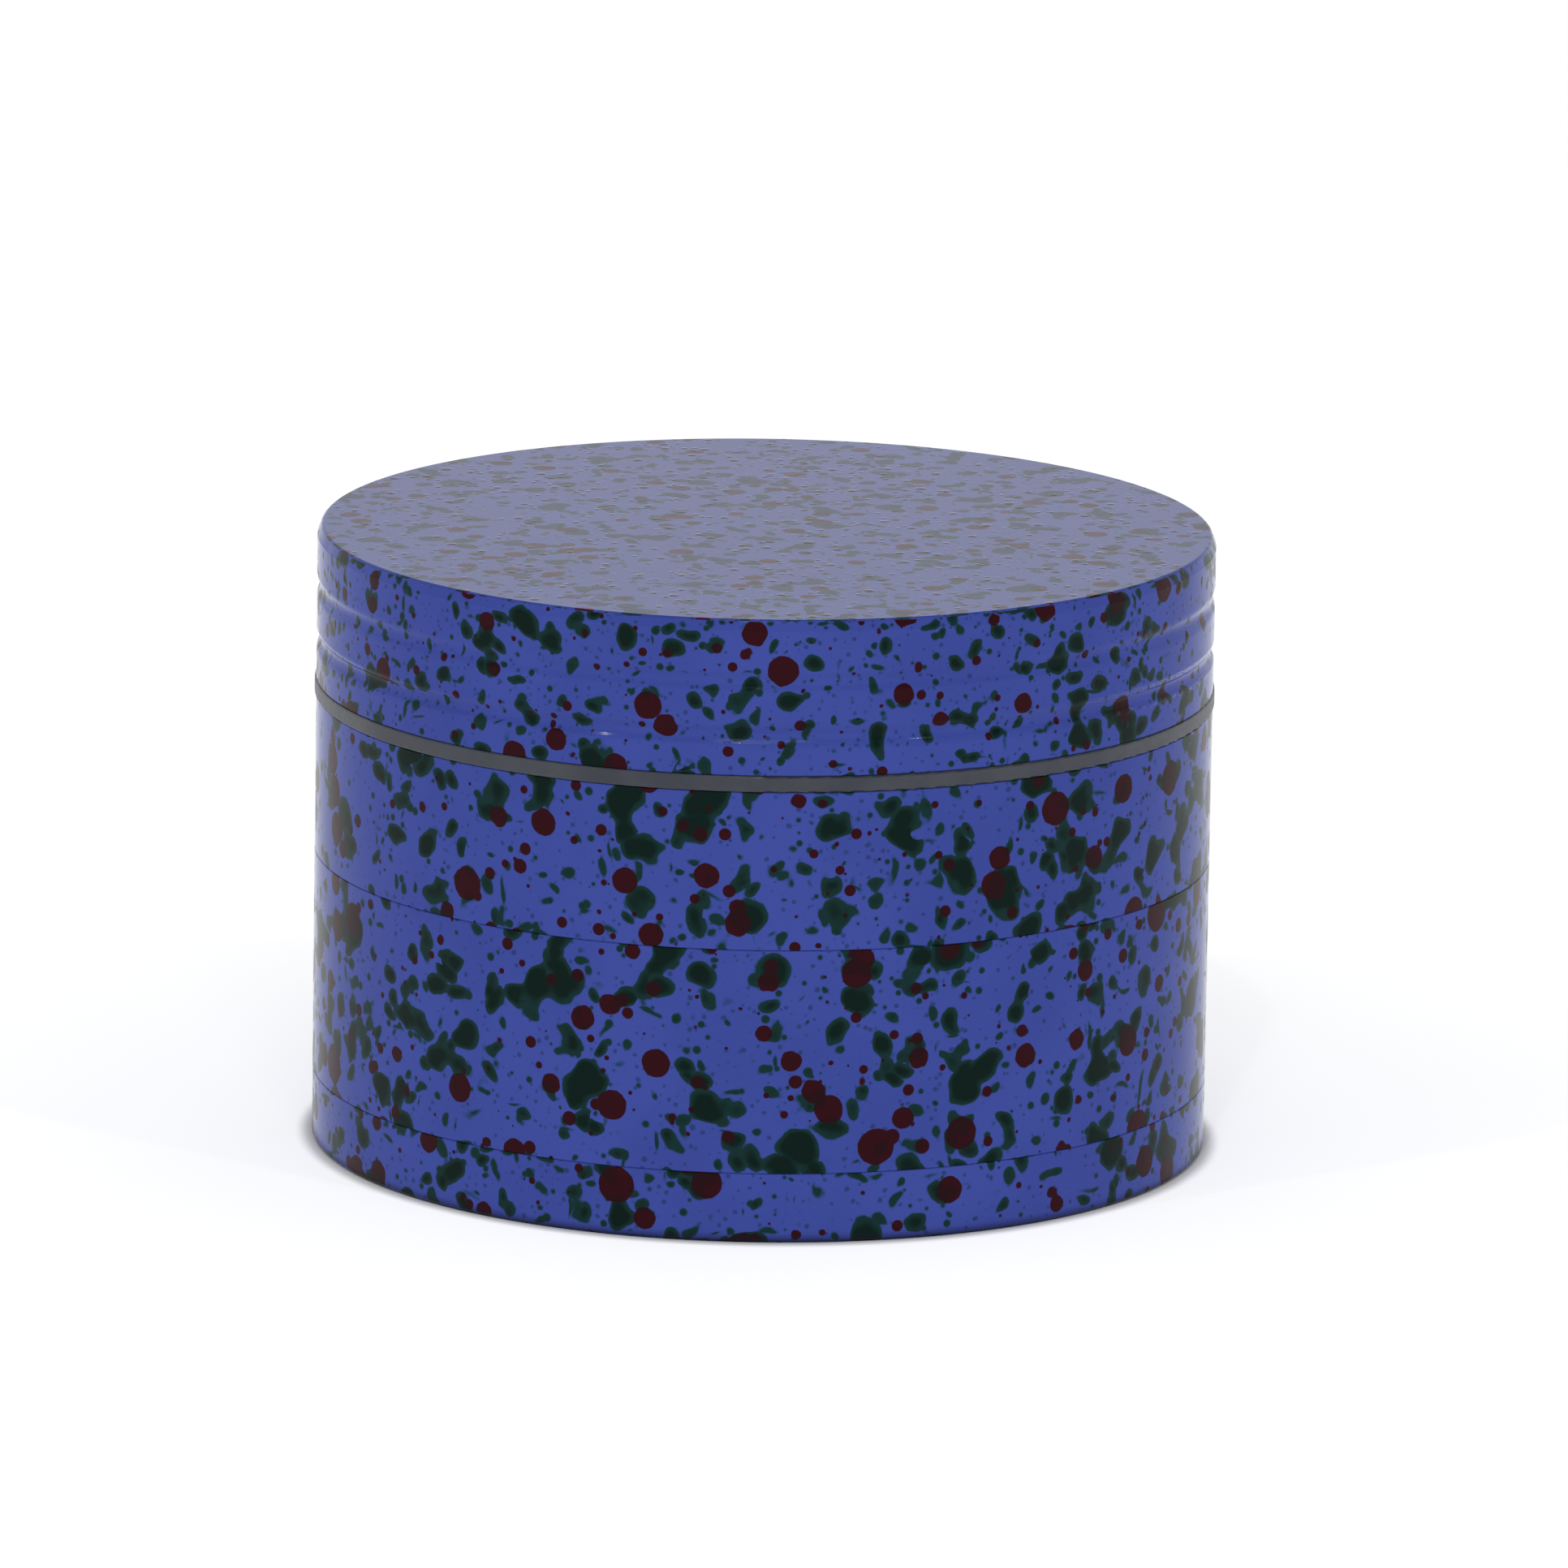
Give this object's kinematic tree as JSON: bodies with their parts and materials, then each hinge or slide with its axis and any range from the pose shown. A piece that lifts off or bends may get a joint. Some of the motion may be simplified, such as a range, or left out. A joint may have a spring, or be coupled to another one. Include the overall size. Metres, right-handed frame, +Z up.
{
  "type": "herb grinder",
  "caption": "Round metal herb grinder: toothed magnetic lid that spins on a plastic ring, grinding chamber with drop holes, storage chamber with mesh screen, screw-on pollen catcher.",
  "frame": {"origin": "middle of the foot, on the surface that the grinder stands on", "axes": "+Z up along the turning axis; the pieces are round, so +X and +Y are any two directions across, with -Y the side that faces the viewer"},
  "size_m": [0.0632, 0.0632, 0.0437],
  "materials": {
    "painted_shell": "gloss",
    "bare_aluminium": "satin",
    "steel_mesh": "satin",
    "bare_steel": "satin",
    "nickel": "polished",
    "grey_nylon": "satin"
  },
  "bodies": {
    "pollen_catcher": {"pollen_catcher": "painted_shell"},
    "screen_retaining_ring": {"screen_retaining_ring": "bare_steel"},
    "storage_chamber": {"storage_chamber": "painted_shell", "mesh_screen": "steel_mesh"},
    "chamber_magnet": {"chamber_magnet": "nickel"},
    "grinding_chamber": {"grinding_chamber": "painted_shell", "chamber_teeth": "bare_aluminium"},
    "friction_ring": {"friction_ring": "grey_nylon"},
    "lid": {"lid": "painted_shell", "lid_teeth": "bare_aluminium", "lid_magnet": "nickel"}
  },
  "joints": [
    {"name": "storage_rise", "type": "slide", "parent": "pollen_catcher", "child": "screen_retaining_ring", "axis": [0, 0, 1], "range_m": [0, 0.006]},
    {"name": "storage_turn", "type": "hinge", "parent": "screen_retaining_ring", "child": "storage_chamber", "pos_m": [0, 0, 0.0127], "axis": [0, 0, 1], "range_deg": [0, 1440]},
    {"name": "chamber_rise", "type": "slide", "parent": "storage_chamber", "child": "chamber_magnet", "axis": [0, 0, 1], "range_m": [0, 0.006]},
    {"name": "chamber_turn", "type": "hinge", "parent": "chamber_magnet", "child": "grinding_chamber", "pos_m": [0, 0, 0.026], "axis": [0, 0, 1], "range_deg": [0, 1440]},
    {"name": "lid_lift", "type": "slide", "parent": "grinding_chamber", "child": "friction_ring", "axis": [0, 0, 1], "range_m": [0, 0.04]},
    {"name": "lid_spin", "type": "hinge", "parent": "friction_ring", "child": "lid", "pos_m": [0, 0, 0.038], "axis": [0, 0, 1], "continuous": true}
  ],
  "couplings": [
    {"joint": "storage_rise", "follows": "storage_turn", "m_per_rad": 0.00023873},
    {"joint": "chamber_rise", "follows": "chamber_turn", "m_per_rad": 0.00023873}
  ]
}
